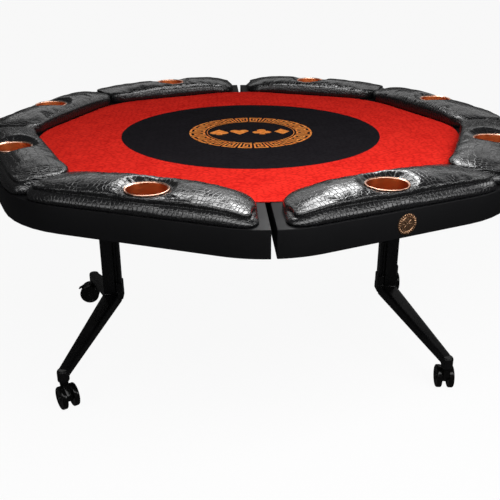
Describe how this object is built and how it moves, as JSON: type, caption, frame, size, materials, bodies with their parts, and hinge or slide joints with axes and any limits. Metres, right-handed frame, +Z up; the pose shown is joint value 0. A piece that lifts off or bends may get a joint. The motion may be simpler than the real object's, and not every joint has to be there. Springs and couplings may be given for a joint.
{
  "type": "poker table",
  "caption": "Octagonal folding poker table: red cloth halves on a fold hinge, padded leather arm rests with copper cup holders, column legs with splayed feet on twin-wheel casters.",
  "frame": {"origin": "on the floor, under the middle of the table top", "axes": "+Z up; +Y along the fold line, from the side with the medallion to the far side; +X across the fold line, towards the half with the medallion"},
  "size_m": [1.6134, 1.6132, 0.7673],
  "materials": {
    "black_board": "plywood and moulding under satin black lacquer",
    "red_cloth": "water-resistant speed cloth, red with a black centre disc and a copper-coloured ring",
    "black_leather": "glossy embossed vinyl leather, crocodile grain",
    "copper": "polished copper flange, brushed copper inside",
    "bronze": "antique bronze relief",
    "leg_metal": "satin black powder coat",
    "steel": "blackened steel pins",
    "caster_plastic": "glossy black moulded nylon",
    "wheel_plastic": "semi-gloss black moulded nylon"
  },
  "bodies": {
    "left_leg": {"left_column": "leg_metal", "left_foot": "leg_metal"},
    "left_top": {"left_top_board": "black_board", "left_apron": "black_board", "left_play_surface": "red_cloth", "left_rear_pad": "black_leather", "left_side_rear_pad": "black_leather", "left_side_front_pad": "black_leather", "left_front_pad": "black_leather", "left_rear_cup": "copper", "left_side_rear_cup": "copper", "left_side_front_cup": "copper", "left_front_cup": "copper", "left_pivot_bracket": "leg_metal", "left_pivot_pin": "steel", "front_hinge_left_leaf": "leg_metal", "rear_hinge_left_leaf": "leg_metal", "centre_hinge_left_leaf": "leg_metal"},
    "right_top": {"right_top_board": "black_board", "right_apron": "black_board", "right_play_surface": "red_cloth", "right_front_pad": "black_leather", "right_side_front_pad": "black_leather", "right_side_rear_pad": "black_leather", "right_rear_pad": "black_leather", "right_front_cup": "copper", "right_side_front_cup": "copper", "right_side_rear_cup": "copper", "right_rear_cup": "copper", "right_pivot_bracket": "leg_metal", "right_pivot_pin": "steel", "front_hinge_right_leaf": "leg_metal", "rear_hinge_right_leaf": "leg_metal", "centre_hinge_right_leaf": "leg_metal", "apron_medallion": "bronze"},
    "right_leg": {"right_column": "leg_metal", "right_foot": "leg_metal"},
    "fold_hanger": {"fold_hanger": "leg_metal"},
    "left_link": {"left_link": "leg_metal"},
    "right_link": {"right_link": "leg_metal"},
    "front_left_caster": {"front_left_caster_housing": "caster_plastic", "front_left_caster_axle": "steel"},
    "front_left_wheel_a": {"front_left_wheel_a": "wheel_plastic"},
    "front_left_wheel_b": {"front_left_wheel_b": "wheel_plastic"},
    "front_right_caster": {"front_right_caster_housing": "caster_plastic", "front_right_caster_axle": "steel"},
    "front_right_wheel_a": {"front_right_wheel_a": "wheel_plastic"},
    "front_right_wheel_b": {"front_right_wheel_b": "wheel_plastic"},
    "rear_left_caster": {"rear_left_caster_housing": "caster_plastic", "rear_left_caster_axle": "steel"},
    "rear_left_wheel_a": {"rear_left_wheel_a": "wheel_plastic"},
    "rear_left_wheel_b": {"rear_left_wheel_b": "wheel_plastic"},
    "rear_left_brake": {"rear_left_brake_lever": "caster_plastic"},
    "rear_right_caster": {"rear_right_caster_housing": "caster_plastic", "rear_right_caster_axle": "steel"},
    "rear_right_wheel_a": {"rear_right_wheel_a": "wheel_plastic"},
    "rear_right_wheel_b": {"rear_right_wheel_b": "wheel_plastic"},
    "rear_right_brake": {"rear_right_brake_lever": "caster_plastic"}
  },
  "joints": [
    {"name": "fold", "type": "hinge", "parent": "left_leg", "child": "left_top", "pos_m": [-0.455, 0, 0.62], "axis": [0, -1, 0], "range_deg": [0, 80]},
    {"name": "centre_hinge", "type": "hinge", "parent": "left_top", "child": "right_top", "pos_m": [0, 0, 0.645], "axis": [0, 1, 0], "range_deg": [0, 160]},
    {"name": "right_leg_pivot", "type": "hinge", "parent": "right_top", "child": "right_leg", "pos_m": [0.455, 0, 0.62], "axis": [0, -1, 0], "range_deg": [0, 80]},
    {"name": "hanger_pivot", "type": "hinge", "parent": "left_top", "child": "fold_hanger", "pos_m": [0, 0, 0.645], "axis": [0, 1, 0], "range_deg": [0, 80]},
    {"name": "left_link_pivot", "type": "hinge", "parent": "left_leg", "child": "left_link", "pos_m": [-0.455, 0, 0.55], "axis": [0, -1, 0], "range_deg": [0, 80]},
    {"name": "right_link_pivot", "type": "hinge", "parent": "fold_hanger", "child": "right_link", "pos_m": [0, 0, 0.575], "axis": [0, 1, 0], "range_deg": [0, 80]},
    {"name": "front_left_swivel", "type": "hinge", "parent": "left_leg", "child": "front_left_caster", "pos_m": [-0.572, -0.338, 0.079], "axis": [0, 0, 1], "continuous": true},
    {"name": "front_left_wheel_a_roll", "type": "hinge", "parent": "front_left_caster", "child": "front_left_wheel_a", "pos_m": [-0.5617, -0.35514, 0.035], "axis": [0.8572, 0.515, 0], "continuous": true},
    {"name": "front_left_wheel_b_roll", "type": "hinge", "parent": "front_left_caster", "child": "front_left_wheel_b", "pos_m": [-0.5617, -0.35514, 0.035], "axis": [0.8572, 0.515, 0], "continuous": true},
    {"name": "front_right_swivel", "type": "hinge", "parent": "right_leg", "child": "front_right_caster", "pos_m": [0.572, -0.338, 0.079], "axis": [0, 0, 1], "continuous": true},
    {"name": "front_right_wheel_a_roll", "type": "hinge", "parent": "front_right_caster", "child": "front_right_wheel_a", "pos_m": [0.57444, -0.31815, 0.035], "axis": [-0.9925, 0.1219, 0], "continuous": true},
    {"name": "front_right_wheel_b_roll", "type": "hinge", "parent": "front_right_caster", "child": "front_right_wheel_b", "pos_m": [0.57444, -0.31815, 0.035], "axis": [-0.9925, 0.1219, 0], "continuous": true},
    {"name": "rear_left_swivel", "type": "hinge", "parent": "left_leg", "child": "rear_left_caster", "pos_m": [-0.572, 0.338, 0.079], "axis": [0, 0, 1], "continuous": true},
    {"name": "rear_left_wheel_a_roll", "type": "hinge", "parent": "rear_left_caster", "child": "rear_left_wheel_a", "pos_m": [-0.592, 0.338, 0.035], "axis": [0, -1, 0], "continuous": true},
    {"name": "rear_left_wheel_b_roll", "type": "hinge", "parent": "rear_left_caster", "child": "rear_left_wheel_b", "pos_m": [-0.592, 0.338, 0.035], "axis": [0, -1, 0], "continuous": true},
    {"name": "rear_left_brake_press", "type": "hinge", "parent": "rear_left_caster", "child": "rear_left_brake", "pos_m": [-0.5965, 0.338, 0.0672], "axis": [0, -1, 0], "range_deg": [0, 15]},
    {"name": "rear_right_swivel", "type": "hinge", "parent": "right_leg", "child": "rear_right_caster", "pos_m": [0.572, 0.338, 0.079], "axis": [0, 0, 1], "continuous": true},
    {"name": "rear_right_wheel_a_roll", "type": "hinge", "parent": "rear_right_caster", "child": "rear_right_wheel_a", "pos_m": [0.57339, 0.35795, 0.035], "axis": [-0.9976, 0.0698, 0], "continuous": true},
    {"name": "rear_right_wheel_b_roll", "type": "hinge", "parent": "rear_right_caster", "child": "rear_right_wheel_b", "pos_m": [0.57339, 0.35795, 0.035], "axis": [-0.9976, 0.0698, 0], "continuous": true},
    {"name": "rear_right_brake_press", "type": "hinge", "parent": "rear_right_caster", "child": "rear_right_brake", "pos_m": [0.57371, 0.36244, 0.0672], "axis": [-0.9976, 0.0698, 0], "range_deg": [0, 15]}
  ],
  "couplings": [
    {"joint": "centre_hinge", "follows": "fold", "ratio": 2},
    {"joint": "right_leg_pivot", "follows": "fold", "ratio": 1},
    {"joint": "hanger_pivot", "follows": "fold", "ratio": 1},
    {"joint": "left_link_pivot", "follows": "fold", "ratio": 1},
    {"joint": "right_link_pivot", "follows": "fold", "ratio": 1}
  ]
}
